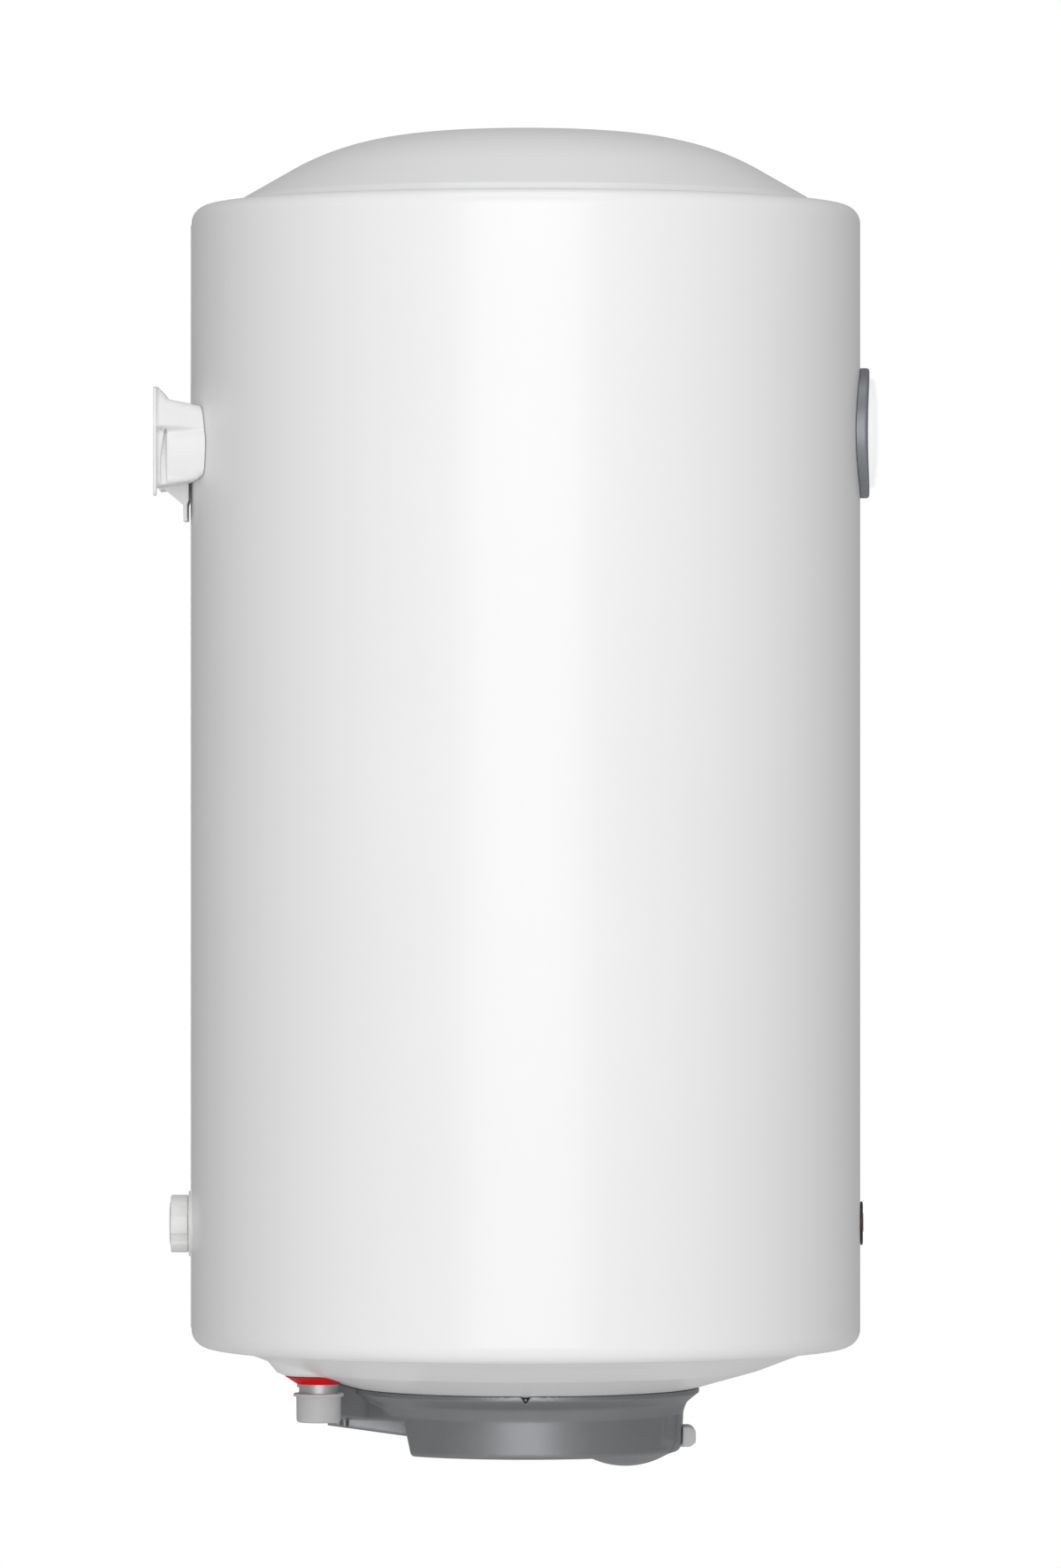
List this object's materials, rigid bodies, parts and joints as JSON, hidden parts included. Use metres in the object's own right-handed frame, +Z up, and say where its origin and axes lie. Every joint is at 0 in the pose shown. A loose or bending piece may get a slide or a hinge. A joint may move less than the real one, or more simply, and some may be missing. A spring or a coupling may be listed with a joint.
{
  "type": "tank water heater",
  "caption": "Wall-hung upright electric storage water heater: enamelled cylinder, domed ends, wall bracket, dial thermometer, grey wiring cover and two pipe stubs below.",
  "frame": {"origin": "centre of the wall bracket's plate, on its back face against the wall", "axes": "+Z up along the tank; +Y into the wall; the front with the thermometer looks along -Y; the hot pipe is on the -X side"},
  "size_m": [0.445, 0.4794, 0.8877],
  "materials": {
    "enamel": "gloss white enamel",
    "dome": "gloss off-white enamel",
    "white_steel": "satin white paint",
    "foam": "rough closed-cell foam",
    "tank_enamel": "glass enamel",
    "steel": "turned",
    "zinc": "zinc plated",
    "copper": "drawn copper",
    "magnesium": "cast",
    "rubber": "moulded",
    "cover_grey": "fine satin moulding",
    "pale_grey": "satin moulding",
    "bezel_grey": "satin moulding",
    "white_plastic": "moulding",
    "dial_white": "printed dial",
    "red": "satin moulding",
    "blue": "satin moulding",
    "lamp": "clear red moulding",
    "black": "moulding",
    "clear": "polished clear plastic"
  },
  "bodies": {
    "root": {"outer_shell": "enamel", "top_dome_cover": "dome", "bottom_dome_cover": "enamel", "insulation_foam": "foam", "inner_tank": "tank_enamel", "hot_outlet_nipple": "steel", "hot_pipe_collar": "red", "cold_inlet_nipple": "steel", "cold_pipe_collar": "blue", "hot_outlet_tube": "steel", "cold_inlet_diffuser": "white_plastic", "flange_gasket": "rubber", "heater_flange": "zinc", "flange_bolt_1": "zinc", "flange_bolt_2": "zinc", "flange_bolt_3": "zinc", "flange_bolt_4": "zinc", "flange_bolt_5": "zinc", "flange_bolt_6": "zinc", "heating_element": "copper", "anode_rod": "magnesium", "anode_nut": "zinc", "sensor_pocket": "copper", "bottom_cover": "cover_grey", "cover_screw_1": "zinc", "clamp_screw_1": "zinc", "cover_screw_2": "zinc", "clamp_screw_2": "zinc", "cable_clamp": "black", "cable_gland": "black", "thermostat_body": "black", "thermostat_sensor": "copper", "indicator_lens": "lamp", "safety_cutout": "white_plastic", "terminal_block": "white_plastic", "thermometer_bezel": "bezel_grey", "thermometer_dial": "dial_white", "thermometer_lens": "clear", "thermometer_probe": "copper", "badge_ring": "black", "badge_disc": "red", "bracket_bolt_1": "zinc", "bracket_bolt_2": "zinc", "spacer_socket": "white_plastic", "wall_bracket": "white_steel", "bracket_base": "white_steel"},
    "thermostat": {"thermostat_knob": "pale_grey", "thermostat_shaft": "steel"},
    "needle": {"thermometer_needle": "red"},
    "hot_cap": {"hot_pipe_cap": "pale_grey"},
    "cold_cap": {"cold_pipe_cap": "pale_grey"},
    "reset_button": {"cutout_reset_button": "red"},
    "spacer_carriage": {"spacer_pad": "white_plastic"},
    "spacer_screw": {"spacer_knob": "white_plastic"}
  },
  "joints": [
    {"name": "thermostat_turn", "type": "hinge", "parent": "root", "child": "thermostat", "pos_m": [0, -0.3493, -0.6586], "axis": [0, 1, 0], "range_deg": [0, 240]},
    {"name": "needle_turn", "type": "hinge", "parent": "root", "child": "needle", "pos_m": [0, -0.4705, 0.0086], "axis": [0, 1, 0], "range_deg": [0, 250]},
    {"name": "hot_cap_slide", "type": "slide", "parent": "root", "child": "hot_cap", "axis": [0, 0, -1], "range_m": [0, 0.02]},
    {"name": "cold_cap_slide", "type": "slide", "parent": "root", "child": "cold_cap", "axis": [0, 0, -1], "range_m": [0, 0.02]},
    {"name": "reset_press", "type": "slide", "parent": "root", "child": "reset_button", "axis": [0, 0, 1], "range_m": [0, 0.002], "stiffness_N_per_m": 200},
    {"name": "spacer_travel", "type": "slide", "parent": "root", "child": "spacer_carriage", "axis": [0, 1, 0], "range_m": [0, 0.0082]},
    {"name": "spacer_turn", "type": "hinge", "parent": "spacer_carriage", "child": "spacer_screw", "pos_m": [0, -0.02, -0.5175], "axis": [0, 1, 0], "range_deg": [0, 738]}
  ],
  "couplings": [
    {"joint": "spacer_turn", "follows": "spacer_travel", "rad_per_m": 1570.8}
  ]
}
